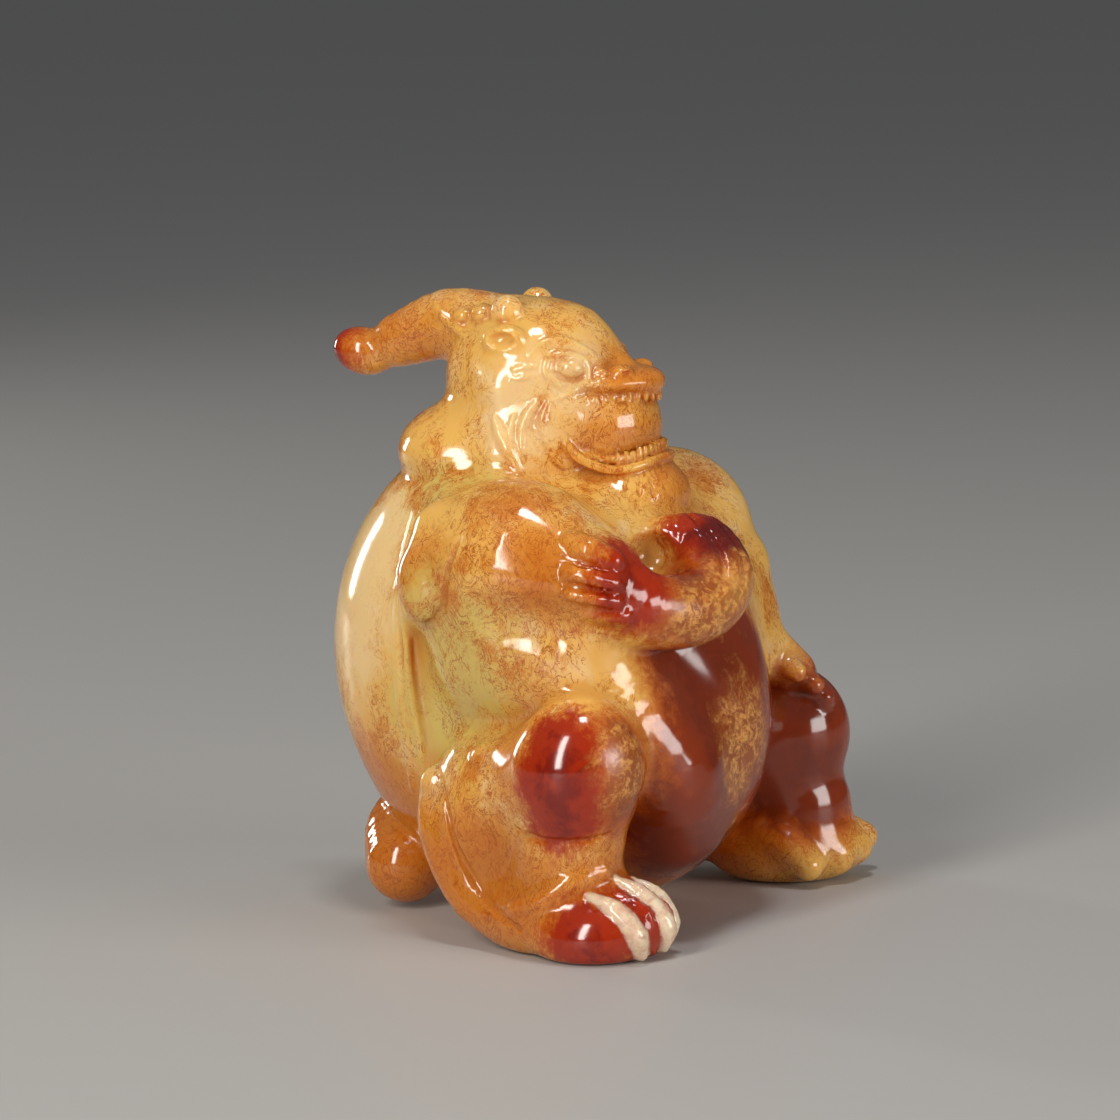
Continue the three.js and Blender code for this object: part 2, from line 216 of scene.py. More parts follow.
# Where the stone changes colour, and where amber stands in as painted shade low down: each colour fills
# the places where its forms meet the surface. The other sections add theirs.
stains = {
    "red": [],
    "dark": [egg([-3.5, -14.5, 14], [9.8, 8.5, 12]), egg([-4, -14, 23], [8, 5, 4])],
    "crust": [egg([-2.6, -17, 15.4], [3.6, 3, 5.4], (0, 10, 0))],
    "pale": [egg([-10, 13.5, 28], [6, 6, 9])],
    "olive": [egg([-16.5, 1.5, 24], [5, 7, 7]), egg([-13, 3, 19], [5, 7, 6]),
              egg([-9, 6, 35], [5, 5, 3.4])],
    "amber": [egg([-6, 13, 8], [11, 9, 8])],
    "claw": [],
    "wine": [],
}

# The hind legs are thick and folded, with round knees and a raised band from hip to heel, and
# they stand on flat soles. A short tail curls to the bear's right at the back. Legs and tail
# are ground from the same pebble as the trunk.
RIGHT_KNEE = (-17.6, -10.4, 15.7)
LEFT_KNEE = (-17, -11.2, 12.8)


def leg(knee, ankle, foot):
    """A leg on the right; `ankle` ends the shank and `foot` is the pad."""
    kx, ky, kz = knee
    thigh = join(2.4, egg([-12.2, -0.6, 9.4], [6.6, 7.2, 9]),
                 limb([-12.5, -2, 11.4, 6.2], [kx, ky + 1.4, kz - 0.8, 4.8]),
                 egg([kx, ky, kz], [4.6, 4.8, 5.4]))
    shank = join(2, limb([kx + 0.6, ky + 1, kz - 3.6, 4.2], ankle), foot)
    band = limb([-15.4, 4.8, 12.4, 1.3], [-16.2, 4, 9, 1.8], [-17, 0.4, 3.8, 2],
                [ankle[0] - 1, ankle[1] + 2.2, 1.6, 1.8])
    return join(1.4, thigh, shank, band)


right_foot = join(1.6, egg([-16, -8, 2.8], [4.8, 7.8, 3.6], [0, 0, 6]),
                  egg([-16.4, -12.2, 2.4], [4.4, 4.4, 3.2]), egg([-19.4, -10.6, 1.8], [2.4, 3.8, 2.3]))
right_leg = leg(RIGHT_KNEE, [-16.3, -7.4, 5.2, 4.4], right_foot)
left_foot = egg([-16.4, -10.6, 2.7], [4.8, 6.8, 3.4], [0, 0, -22])
left_toes = join(0.7, limb([-13.2, -10, 4.4, 1.3], [-13, -12.6, 3.4, 1.5], [-13.2, -14.4, 1.9, 1.3]),
                 limb([-15.4, -10.4, 4.8, 1.3], [-15.8, -13.6, 3.9, 1.6], [-16.2, -15.6, 2.3, 1.4]),
                 limb([-17.4, -10.2, 4.8, 1.3], [-18.4, -13.8, 4, 1.6], [-19.3, -15.9, 2.6, 1.4]),
                 limb([-18.6, -9.4, 4.6, 1.2], [-20.6, -13, 4, 1.5], [-21.9, -15.2, 2.9, 1.3]))
left_leg = mirrored(join(0.8, leg(LEFT_KNEE, [-17.1, -11.8, 6.4, 4.3], left_foot), left_toes))
tail = limb([0, 16.2, 8, 2.2], [-3.6, 15.8, 6, 2.8], [-6.6, 13.4, 3.8, 3.4])

stains["red"] += [egg([-22.6, -10.9, 14.8], [3.6, 3.6, 6.2]), egg([-20.6, -12.2, 2.2], [2.8, 3.6, 2.8]),
                  egg([-16.4, -15.2, 3.4], [4.2, 2.8, 3.4])]
stains["dark"] += [egg([15.5, -13, 11.5], [6, 6, 7.4]), egg([-18.6, -15, 15.2], [3, 2.4, 5])]
stains["crust"] += [egg([-18.8, -15.4, 16], [2.6, 2, 4.4])]
# These amber forms, on the leg's side, at the heel and in a broad band round the foot of the carving,
# are painted shade: amber deepening towards the bottom.
stains["amber"] += [egg([-19.5, -3.6, 5.4], [5, 8, 4.4]), egg([-20, -5.6, 17], [3, 3, 4]),
                    egg([-4, 0, 5], [21, 21, 9.5])]

# The right arm is raised and its paw curls to the chin, and the left paw rests on the left
# knee. The arms are ground from the same pebble, and trunk, legs, arms and tail run into each
# other in smooth hollows.
SHOULDER_SPREAD = 13.4
shoulder = join(3, egg([-SHOULDER_SPREAD, -1.2, 30.4], [5.8, 7.6, 6.8]),
                limb([-14.2, 3.2, 31, 3.2], [-15.2, 5.2, 28.2, 1.8]))
upper_arm = limb([-14, -4, 30.8, 5.4], [-14.2, -9.4, 29.5, 4.3])
forearm = limb([-14.2, -9.6, 29.5, 4.1], [-11.4, -13.2, 27.4, 3.3], [-7.0, -15.1, 27, 3.0],
               [-3.1, -14.8, 28.8, 3.2], [-1.8, -12.7, 31.0, 2.8], [-2.8, -10.4, 31.6, 2.2])
left_arm = join(2, limb([13.6, -3.6, 29.4, 4.8], [13.8, -6.7, 27, 3.8]),
                limb([11.8, -6.4, 26.2, 3], [13, -9.6, 21.4, 2.4], [14.8, -12.4, 18.2, 2.0]))
finger_tips = [(12.6, -14.0, 18.6), (14.0, -14.9, 17.3), (15.6, -15.0, 16.0), (17.2, -14.2, 15.4)]
left_paw = join(0.5, *[limb([14 + i * 0.5, -11.6, 19.4 - 0.2 * i, 1.1], [*tip, 0.85])
                       for i, tip in enumerate(finger_tips)])

stains["red"] += [egg([-15.4, -14.2, 30.2], [3.0, 3.4, 3.8]), egg([-3.4, -15, 32.8], [3.8, 4, 2.4])]
stains["dark"] += [egg([-12.4, -16.6, 28.6], [3.4, 2.4, 2.6]), egg([-9.0, -13.8, 29.8], [5.0, 3.0, 2.0])]
stains["wine"] += [egg([-2.4, -16.2, 32.6], [3.4, 3.2, 2.6])]
stains["crust"] += [egg([-6.6, -17.8, 26.8], [7.4, 3, 3]), egg([-3.4, -18.4, 28.6], [2.6, 2.8, 2.6])]
stains["amber"] += [egg([-18.6, -8, 31.4], [3, 4, 3.6]), egg([-19, 4.4, 29.4], [2.4, 3.4, 4.2])]

body = join(4, torso, both_sides(shoulder), upper_arm)
body = join(4, body, both_sides(flank_roll), belly_fold)
body = join(1.1, body, right_leg, left_leg)
body = join(0.7, body, left_arm, left_paw)
body = join(0.7, body, forearm, tail)

# The carving on the body is cut with small wheels: locks of fur off the raised arm and behind
# each elbow, knobs at hip and thigh, two thin lines beside the shell's edge, the right foot's
# claws with webs of stone between them, fine grooves, and the hollows round the raised arm.
arm_locks = [
    tuft(body, [0.9, 1.3, 1.0], (-17.3, -9.8, 33.8), (-17.2, -11.2, 33.3), (-16.2, -13.0, 32.2),
         sink=0.3),
    tuft(body, [0.8, 1.1, 0.8], (-18.8, -10.3, 31.3), (-18.4, -11.8, 30.9), (-17.2, -13.6, 30.3),
         sink=0.25),
    tuft(body, [0.7, 0.9, 0.7], (-18.8, -10.3, 29.2), (-18.4, -11.8, 29.0), (-17.2, -13.6, 28.6),
         sink=0.2),
    tuft(body, [0.7, 0.9, 0.7], (-18.2, -10.6, 27.5), (-17.6, -12.2, 27.4), (-16.4, -13.8, 27.2),
         sink=0.2),
]
elbow_lock = join(1.2, egg([-16.9, 3.9, 29.8], [2.2, 2.8, 3.7], (0, 12, 0)),
                  egg([-15.0, 3, 33], [2.4, 3.4, 3.0]))
thigh_knob = egg([-17.2, -1.2, 15.4], [1.3, 1.4, 1.3])
hip_knob = egg([-16.0, 4.3, 12.9], [1.5, 1.4, 1.4])
ankle = tuft(body, [0.5, 0.9, 0.9, 0.6], (-20.2, -5.4, 4.0), (-20.8, -7.7, 4.9), (-19.8, -10.2, 6.5),
             (-18, -11.8, 7.2))
SHELL_LINE_GAP = 1.3
shell_lines = [ridge(body, 0.26, (-11, 8 + k, 34.6), (-13.6, 7.9 + k, 30.4), (-14.6, 7.9 + k, 25),
                     (-14.4, 7.6 + k, 20), (-13.4, 7.3 + k, 15.5), (-11.6, 7.6 + k, 11.6))
               for k in (0, SHELL_LINE_GAP)]
body = join(0.4, body, both_sides(join(0.2, *shell_lines)), thigh_knob, both_sides(hip_knob))
body = join(0.5, body, both_sides(elbow_lock))
body = join(0.5, body, join(0.3, *arm_locks), ankle)

claws = [tuft(body, [0.35, 0.8, 0.9, 0.6], (-19.4, -11.6, 5.2), (-19.2, -13.6, 4.2), (-18.6, -15.0, 2.4),
              (-18.2, -15.6, 0.5), sink=0.1),
         tuft(body, [0.35, 0.8, 0.9, 0.6], (-17.0, -12.4, 6.2), (-16.6, -14.6, 4.8), (-16.0, -16.4, 2.6),
              (-15.8, -17.0, 0.5), sink=0.1),
         tuft(body, [0.3, 0.65, 0.7, 0.5], (-14.8, -13.0, 6.0), (-14.2, -15.0, 4.8), (-13.6, -16.6, 2.6),
              (-13.4, -17.2, 0.6), sink=0.1)]
webs = [tuft(body, [0.25, 0.4, 0.3], (-17.9, -13.2, 5.0), (-17.4, -15.0, 3.4), (-17.0, -16.0, 0.8),
             sink=0),
        tuft(body, [0.25, 0.4, 0.3], (-15.7, -14.0, 5.2), (-15.1, -15.8, 3.4), (-14.7, -16.8, 0.8),
             sink=0)]
body = join(0.15, body, *claws, *webs)
stains["claw"] += claws

grooves = [
    ridge(body, 0.42, (-18.4, -9.0, 32.5), (-18.4, -10.8, 32.2), (-17.4, -12.8, 31.5), sink=-0.1),
    ridge(body, 0.38, (-19.2, -9.4, 30.2), (-18.8, -11.2, 30.0), (-17.6, -13.2, 29.5), sink=-0.1),
    ridge(body, 0.36, (-19.0, -9.6, 28.4), (-18.4, -11.6, 28.2), (-17.2, -13.4, 27.9), sink=-0.1),
    ridge(body, 0.3, (-19.3, -0.4, 33.6), (-19.6, 0.8, 30.6), (-18.9, 1.8, 27.6), (-18.0, 3.4, 26.3),
          (-17.0, 5.6, 26.4), sink=-0.2),
    ridge(body, 0.32, (-20.3, -5.4, 10.4), (-21.1, -8.6, 9.9), (-20.6, -11.1, 9.9),
          (-18.6, -13.2, 10.4), sink=-0.2),
    ridge(body, 0.34, (-16.8, 3.0, 13.4), (-18.2, 2.2, 11.9), (-18.8, 1.0, 8), (-18.9, -1.2, 4.9),
          (-20.4, -4, 3.4), (-20.9, -6.4, 2.3), sink=-0.2),
    ridge(body, 0.3, (-2.0, -11.6, 34.4), (-3.2, -13.6, 33.0), (-4.4, -15.8, 31.0), (-6.0, -17.0, 29.4),
          (-8.4, -17.6, 28.2), sink=-0.2),
    ridge(body, 0.3, (-1.0, -13.0, 34.0), (-2.0, -15.2, 32.2), (-3.0, -16.8, 30.4), (-4.6, -17.7, 28.6),
          (-6.6, -18.0, 27.2), sink=-0.2),
    ridge(body, 0.3, (0.4, -13.6, 33.2), (-0.4, -15.8, 31.6), (-1.2, -17.0, 29.8), (-2.4, -17.6, 28.0),
          sink=-0.2),
]
arm_hollow = limb([-12.4, -15.4, 32.6, 1.9], [-8.4, -12.4, 31.4, 2.1], [-5.4, -10.2, 30.8, 1.9])
under_arm = limb([-21.6, -1.6, 27.2, 1.8], [-21.6, -5.0, 26.6, 2.9], [-20.6, -9.0, 26.4, 2.9],
                 [-18.9, -13.0, 25.8, 1.8])
body = cut(1.2, cut(0.5, cut(0.25, body, *grooves), arm_hollow), under_arm)

# The head has small ears, a horn-like tuft swept back, ringed eyes, and an open mouth with two
# rows of teeth and a doubled lower lip, all cut in the same stone. It is shaped facing straight
# ahead, and then turned a little to the bear's left about an upright axis through the neck.
HEAD_TURN = 10
NECK_Y = 5


def ring(body, radius, centre, u, v):
    """A thin closed line on the surface, round an eye."""
    a = np.linspace(0, 2 * pi, 11)
    points = np.array(centre) + np.outer(np.cos(a), u) + np.outer(np.sin(a), v)
    return limb(*laid(body, points, np.full(len(points), radius), 0.3), steps=3)


def along(points, gap):
    """Evenly spaced points on a path."""
    s = spline(points, 12)
    d = np.r_[0, np.cumsum(np.linalg.norm(np.diff(s, axis=0), axis=1))]
    t = np.linspace(0, d[-1], int(d[-1] / gap) + 1)
    return np.column_stack([np.interp(t, d, s[:, i]) for i in range(3)])


def turned(field, degrees, axis_y):
    """The form turned to the bear's left about an upright axis."""
    c, s = cos(radians(degrees)), sin(radians(degrees))

    def inner(p):
        x, y = p[:, 0], p[:, 1] - axis_y
        return field(np.column_stack([c * x + s * y, -s * x + c * y + axis_y, p[:, 2]]))
    return inner


skull = join(2.2, egg([0, 3.6, 44.5], [7.2, 7.4, 6.6]), egg([0, 4.4, 38.4], [8.2, 7.4, 6.6]),
             limb([0, 0, 46.2, 3.3], [0, -3.8, 44.8, 1.5]))
cheek = egg([-3.6, 0.6, 40.6], [3.4, 4.2, 5])
upper_jaw = join(0.8, egg([0, -2, 44.2], [5.0, 5.4, 1.5]), egg([0, -5.9, 44], [2.2, 1.65, 1.25]))
chin = join(1.2, egg([0, -5.0, 34.7], [5.6, 4.5, 3.3]), egg([0, -3.4, 37.2], [4.7, 4.2, 1.5]))
mouth = egg([0, -1.5, 40.4], [5.6, 5.7, 5.4])
brow = egg([-2.9, -1.2, 45.9], [2.2, 2.3, 1.2])
head = join(1.2, skull, both_sides(cheek), both_sides(brow))
head = join(0.5, head, upper_jaw, chin, mouth)
horn = join(1, limb([0, 6, 47.8, 3.4], [0, 11, 48.7, 3], [0, 15.4, 47.4, 2.3]),
            egg([0, 18.8, 46.4], [2.1, 2.7, 2], [14, 0, 0]))
head = join(0.8, head, horn)

eye = egg([-4.95, -1.3, 45.65], [1.15, 1.3, 0.95])
lids = ring(head, 0.34, [-5.55, -1.35, 45.65], [0.6, -1.75, 0.0], [0.1, 0.1, 1.35])
brow_line = ridge(head, 0.24, [-6.6, 1.6, 47.0], [-5.9, 0.6, 48.0], [-5.0, -0.9, 48.4],
                  [-4.4, -2.3, 47.9], [-3.8, -3.7, 46.9])
ear = cut(0.3, egg([-5.85, 4.0, 48.0], [1.1, 1.95, 1.35]), egg([-7.3, 4.0, 48.05], [1.25, 1.35, 0.8]))
crown_curls = join(0.4, egg([-2.6, 8.7, 49.6], [0.9, 1.0, 0.8]),
                   egg([-3.2, 6.8, 49.9], [1.0, 1.0, 0.9]), egg([-3.5, 4.5, 49.9], [1.45, 1.5, 1.65]))
horn_root = ridge(head, 0.45, [-2.0, 11.4, 50.6], [-2.9, 10.7, 49.9], [-3.3, 9.7, 49.1],
                  [-3.9, 8.3, 48.2], [-4.6, 7.4, 47.2])
fur = join(
    0.2,
    ridge(head, 0.26, [-7.2, 2.8, 45.7], [-7, 2, 45.9], [-6.7, 1.0, 46.0]),
    ridge(head, 0.26, [-7.2, 2.8, 44.9], [-7, 2, 45.1], [-6.7, 1.0, 45.2]),
    ridge(head, 0.25, [-6.6, 6.6, 46.0], [-7.0, 6.1, 45.4], [-7.1, 5.8, 44.7]),
    ridge(head, 0.42, [-6.8, 0.9, 43.1], [-7.0, 1.6, 42.1], [-7.3, 2.1, 40.8], [-7.6, 2.1, 39.3]),
    ridge(head, 0.46, [-6.4, 0.1, 42.8], [-6.6, 0.5, 41.4], [-6.7, 0.3, 39.8]),
    ridge(head, 0.3, [-7.4, 2.8, 41.9], [-7.5, 3.0, 41.0], [-7.7, 3.0, 40.2]),
    ridge(head, 0.6, [-7.5, 4.5, 41.8], [-7.8, 3.9, 40.6], [-8, 3.1, 39.2], [-7.8, 2.3, 37.6]),
)
cheek_bump = egg([-6.4, 4.4, 44], [1.0, 1.8, 1.8])
nostril = cut(0.2, egg([-2.6, -4.9, 44.9], [1.1, 1.1, 0.85]), egg([-3.2, -5.6, 44.9], [0.5, 0.4, 0.35]))
whisker_beads = join(0.3, egg([-3.7, -3.5, 45.2], [0.5, 0.6, 0.35]),
                     egg([-3.9, -3.8, 44.6], [0.5, 0.55, 0.3]))
nose_fold = ridge(head, 0.36, [-5.9, -0.8, 43.2], [-5.5, -1.7, 43.8], [-5.2, -2.4, 44.3],
                  [-4.8, -3.5, 44.3])

UPPER_TOOTH_GAP, LOWER_TOOTH_GAP = 0.72, 0.66
gum_path = [[-6.0, -0.7, 43.0], [-5.0, -2.5, 42.9], [-4.1, -3.9, 42.9], [-2.9, -5.3, 42.9],
            [-1.7, -6.6, 42.9], [-0.2, -7.2, 42.8]]
upper_teeth = join(0.1, *[egg(c + [0, 0, 0.1], [0.3, 0.3, 0.45])
                          for c in along(gum_path, UPPER_TOOTH_GAP)])
lip_path = [[-6.3, -0.9, 40.4], [-6.4, -1.5, 39.4], [-6.1, -2.2, 38.5], [-5.7, -3.3, 37.8],
            [-5.2, -4.4, 37.4], [-4.6, -5.5, 37.3], [-3.7, -6.6, 37.5], [-2.3, -7.4, 37.8],
            [0.0, -7.8, 37.9]]
outer_lip = limb(*[p + [0.4 if i else 0.25] for i, p in enumerate(lip_path)])
inner_lip = limb(*[[x * 0.93, y + 0.5, z + 0.75, 0.3 if i else 0.15]
                   for i, (x, y, z) in enumerate(lip_path)])
lower_teeth = join(0.08, *[limb([x * 0.94, y + 0.4, z + 0.5, 0.26], [x * 0.94, y + 0.4, z + 1.2, 0.24])
                           for x, y, z in along(lip_path[5:], LOWER_TOOTH_GAP)])
beard = [ridge(head, 0.24, [x, y, 36.5], [x * 1.02, y, 35.4], [x * 0.98, y + 0.2, 34.2], sink=-0.2)
         for x, y in ((-5.0, -3.4), (-4.9, -4.2), (-4.7, -5.0), (-4.4, -5.8), (-4.0, -6.6),
                      (-3.4, -7.4))]
mane = egg([0, 9, 38.4], [8.2, 6.2, 4.3])
details = [eye, lids, brow_line, crown_curls, horn_root, fur, nostril, whisker_beads, nose_fold,
           outer_lip, inner_lip]
head = join(0.4, head, both_sides(join(0.4, cheek_bump, ear)))
head = join(0.25, head, both_sides(join(0.2, *details)))
head = join(0.12, head, both_sides(join(0.1, upper_teeth, lower_teeth)))
head = join(1.4, cut(0.1, head, both_sides(join(0.05, *beard))), mane)

head_stains = {
    "pale": [egg([-6.5, 2.5, 42], [3.5, 3.5, 4.5]), egg([-5.4, -1.4, 45.8], [2.2, 2.8, 2.0])],
    "red": [egg([0, 20.8, 46.4], [2.4, 1.8, 2.4])],
    "amber": [join(1, egg([0, -5, 44.6], [5.4, 4.4, 2.6]), egg([0, -3, 40.2], [6, 5.4, 2.6]),
                   egg([1, -7.6, 34.6], [4.4, 3.4, 3.4]), egg([0, 13, 48.4], [3, 6.5, 2.6]))],
}
for name, fields in head_stains.items():
    stains[name] += [turned(field, HEAD_TURN, NECK_Y) for field in fields]
stains["wine"] += [egg([-3.4, 22.4, 46.4], [2.6, 1.8, 2.4])]

# The finished stone is one piece of honey-coloured nephrite, with a russet skin left on knee,
# paws and belly. It is carved from a single pebble, sanded, and polished until it shines, and
# light soaks a little way into it.

# The surface is looked for on a grid that is finer over the face, and is then moved so that
# the carving stands over the middle of the frame.
ALL_LOW, ALL_HIGH = (-24.5, -22.5, -1.2), (25, 24, 53.5)
FACE_LOW, FACE_HIGH = (-9.5, -18, 33), (8.5, 12, 52)
FINE, COARSE = 0.29, 0.47
TO_FRAME = np.array([-0.177, -1.635, 0.0])
MM = 0.001


def grid_lines(low, high, face_low, face_high):
    """Where the grid's planes cross one axis: closer together over the face."""
    out = [low]
    while out[-1] < high:
        out.append(out[-1] + (FINE if face_low <= out[-1] < face_high else COARSE))
    return np.array(out)


def surface(field, lines):
    """Closed quads round a field's inside, one point in each cell that the surface crosses."""
    n = [len(s) for s in lines]
    value = np.empty(n)
    across, deep = np.meshgrid(lines[0], lines[1], indexing="ij")
    flat = np.column_stack([across.ravel(), deep.ravel(), np.zeros(across.size)])
    for k, z in enumerate(lines[2]):
        flat[:, 2] = z
        value[:, :, k] = field(flat).reshape(across.shape)
    inside = value < 0
    corners = [(a, b, c) for a in (0, 1) for b in (0, 1) for c in (0, 1)]
    count = sum(inside[a:n[0] - 1 + a, b:n[1] - 1 + b, c:n[2] - 1 + c].astype(int)
                for a, b, c in corners)
    active = (count > 0) & (count < len(corners))
    index = -np.ones(active.shape, int)
    index[active] = np.arange(active.sum())
    cell = np.argwhere(active)
    total, crossed = np.zeros((len(cell), 3)), np.zeros(len(cell))
    for a in corners:
        for axis in range(3):
            if a[axis]:
                continue
            b = list(a)
            b[axis] = 1
            va = value[tuple((cell + a).T)]
            vb = value[tuple((cell + b).T)]
            cross = (va < 0) != (vb < 0)
            point = np.tile(np.array(a, float), (len(cell), 1))
            point[:, axis] = np.where(cross, va / np.where(cross, va - vb, 1), 0)
            total += point * cross[:, None]
            crossed += cross
    part = total / crossed[:, None]
    points = np.column_stack([lines[i][cell[:, i]] + part[:, i] * np.diff(lines[i])[cell[:, i]]
                              for i in range(3)])
    quads = []
    unit = np.eye(3, dtype=int)
    for axis in range(3):
        u, w = (axis + 1) % 3, (axis + 2) % 3
        here = [slice(1, n[i] - 1) for i in range(3)]
        here[axis] = slice(0, n[axis] - 1)
        there = list(here)
        there[axis] = slice(1, n[axis])
        first, second = inside[tuple(here)], inside[tuple(there)]
        edge = np.argwhere(first != second)
        flip = second[tuple(edge.T)]
        edge = edge + np.array([s.start for s in here])
        around = (0 * unit[u], unit[u], unit[u] + unit[w], unit[w])
        loop = np.column_stack([index[tuple((edge - d).T)] for d in around])
        loop[flip] = loop[flip][:, ::-1]
        quads.append(loop)
    return points, np.concatenate(quads)


def split(v, q):
    """Quads as triangles, cut along the shorter diagonal."""
    one = np.linalg.norm(v[q[:, 0]] - v[q[:, 2]], axis=1)
    other = np.linalg.norm(v[q[:, 1]] - v[q[:, 3]], axis=1)
    a, b = q[one <= other], q[one > other]
    return np.concatenate([a[:, [0, 1, 2]], a[:, [0, 2, 3]], b[:, [0, 1, 3]], b[:, [1, 2, 3]]])


bear = join(0.8, body, turned(head, HEAD_TURN, NECK_Y))
bear = common(0.5, bear, lambda p: -p[:, 2])
lines = [grid_lines(*span) for span in zip(ALL_LOW, ALL_HIGH, FACE_LOW, FACE_HIGH)]
points, quads = surface(bear, lines)
points = snap(bear, points, steps=2, reach=0.25)
triangles = split(points, quads)
normals = slope(bear, points)
normals /= np.linalg.norm(normals, axis=1, keepdims=True)

mesh = bpy.data.meshes.new("bear")
mesh.from_pydata(((points + TO_FRAME) * MM).tolist(), [], triangles.tolist())
mesh.shade_smooth()
mesh.normals_split_custom_set_from_vertices(normals.tolist())
carving = bpy.data.objects.new("bear", mesh)
bpy.context.scene.collection.objects.link(carving)


def keep(name, values):
    """Keeps a number at each point of the stone, for its material."""
    mesh.attributes.new(name, "FLOAT", "POINT").data.foreach_set("value", values.astype(np.float32))


STAIN_REACH, STAIN_EASE, GROOVE_REACH = 4, 1.5, 0.7
for name, fields in stains.items():
    keep(name, np.clip(join(STAIN_EASE, *fields)(points), -STAIN_REACH, STAIN_REACH))
# How deep each point lies in a groove or hollow, for the painted shade laid there.
keep("hollow", GROOVE_REACH - bear(points + normals * GROOVE_REACH))


class Shade:
    """A socket of a material; arithmetic on it adds Math nodes."""
    tree = None

    def __init__(self, socket):
        self.socket = socket

    @classmethod
    def node(cls, kind, settings, values, out=0):
        """Adds a node: its type, its settings, and the values or links of its sockets."""
        made = cls.tree.nodes.new(kind)
        for name, value in settings.items():
            if name == "stops":
                for stop, (at, colour) in zip(made.color_ramp.elements, value):
                    stop.position, stop.color = at, colour
            else:
                setattr(made, name, value)
        for key, value in values.items():
            if isinstance(value, Shade):
                cls.tree.links.new(value.socket, made.inputs[key])
            else:
                made.inputs[key].default_value = value
        return cls(made.outputs[out]) if made.outputs else None

    @staticmethod
    def maths(operation, *values):
        return Shade.node("ShaderNodeMath", {"operation": operation}, dict(enumerate(values)))

    def __add__(self, other):
        return self.maths("ADD", self, other)

    def __sub__(self, other):
        return self.maths("SUBTRACT", self, other)

    def __rsub__(self, other):
        return self.maths("SUBTRACT", other, self)

    def __mul__(self, other):
        return self.maths("MULTIPLY", self, other)

    def __abs__(self):
        return self.maths("ABSOLUTE", self)

    __radd__, __rmul__ = __add__, __mul__


def rise(value, low, high, top=1.0):
    """0 below low, `top` above high and smooth between; low may be the larger."""
    if low > high:
        return top - rise(value, high, low, top)
    return Shade.node("ShaderNodeMapRange", {"interpolation_type": "SMOOTHSTEP"},
                      {"Value": value, "From Min": low, "From Max": high, "To Min": 0.0, "To Max": top})


def drawn_out(place, share):
    """Places that draw a pattern out along the axes where the share is small."""
    return Shade.node("ShaderNodeVectorMath", {"operation": "MULTIPLY"}, {0: place, 1: share})


def over(under, colour, mask):
    """A colour laid over another where the mask is 1."""
    mask_in, under_in, colour_in, colour_out = 0, 6, 7, 2
    return Shade.node("ShaderNodeMix", {"data_type": "RGBA"},
                      {mask_in: mask, under_in: under, colour_in: colour}, out=colour_out)


def flecks(place, scale, detail, roughness, distortion=0.0):
    """Noise all through the stone, from 0 to 1 and mostly near a half."""
    return Shade.node("ShaderNodeTexNoise", {"noise_dimensions": "3D"},
                      {"Vector": place, "Scale": scale, "Detail": detail, "Roughness": roughness,
                       "Distortion": distortion})


def region(name):
    """A number kept at each point, such as how far it is from the forms of a stain."""
    return Shade.node("ShaderNodeAttribute", {"attribute_name": name}, {}, out="Fac")


jade = bpy.data.materials.new("jade")
jade.use_nodes = True
jade.node_tree.nodes.clear()
Shade.tree = jade.node_tree
place = Shade.node("ShaderNodeTexCoord", {}, {}, out="Object")
place = Shade.node("ShaderNodeVectorMath", {"operation": "SCALE"}, {0: place, "Scale": 1 / MM})
cloud = flecks(place, 0.09, 3, 0.55)
milk = flecks(place, 0.22, 4, 0.6, 0.4)
patchy = flecks(place, 0.35, 4, 0.6, 0.6)
grain = flecks(place, 1.1, 5, 0.65, 0.8)
fine = flecks(place, 3.2, 3, 0.6, 0.4)
fibre = flecks(drawn_out(place, (1.0, 1.0, 0.5)), 0.9, 6, 0.75, 1.6)
hair = flecks(drawn_out(place, (1.0, 0.8, 0.6)), 0.75, 4, 0.6, 2.2)
ragged = (patchy - 0.5) * 6.5 + (grain - 0.5) * 4

honey, amber = (0.80, 0.46, 0.11, 1), (0.64, 0.22, 0.016, 1)
cream, olive = (0.85, 0.63, 0.33, 1), (0.66, 0.49, 0.13, 1)
orange_vein, burnt = (0.56, 0.15, 0.009, 1), (0.40, 0.085, 0.005, 1)
rust, russet = (0.48, 0.085, 0.005, 1), (0.36, 0.020, 0.002, 1)
crimson, wine = (0.17, 0.006, 0.003, 1), (0.10, 0.004, 0.003, 1)
oxblood, liver = (0.16, 0.020, 0.006, 1), (0.235, 0.030, 0.007, 1)
tan, crust_gold, claw_cream = (0.37, 0.10, 0.014, 1), (0.78, 0.38, 0.09, 1), (0.86, 0.71, 0.52, 1)

# The clear stone: milky clouds in honey, amber on horn and jaws, olive flanks, painted shade in amber
# low down.
colour = over(honey, cream, rise(milk, 0.50, 0.72, 0.6))
colour = over(colour, amber, rise(cloud + (patchy - 0.5) * 0.6, 0.50, 0.74, 0.65))
# Amber, then burnt brown, deepen inside the amber forms; low down this is painted shade.
colour = over(colour, amber, rise(region("amber") + ragged * 0.9, 2.0, -2.0, 0.85))
colour = over(colour, burnt, rise(region("amber") + ragged * 0.9, -0.5, -4.5, 0.35))
colour = over(colour, olive, rise(region("olive") + ragged, 2.2, -2.5, 0.9))
pale = rise(region("pale") + ragged * 0.8, 1.8, -1.8)
colour = over(colour, cream, pale * 0.7)

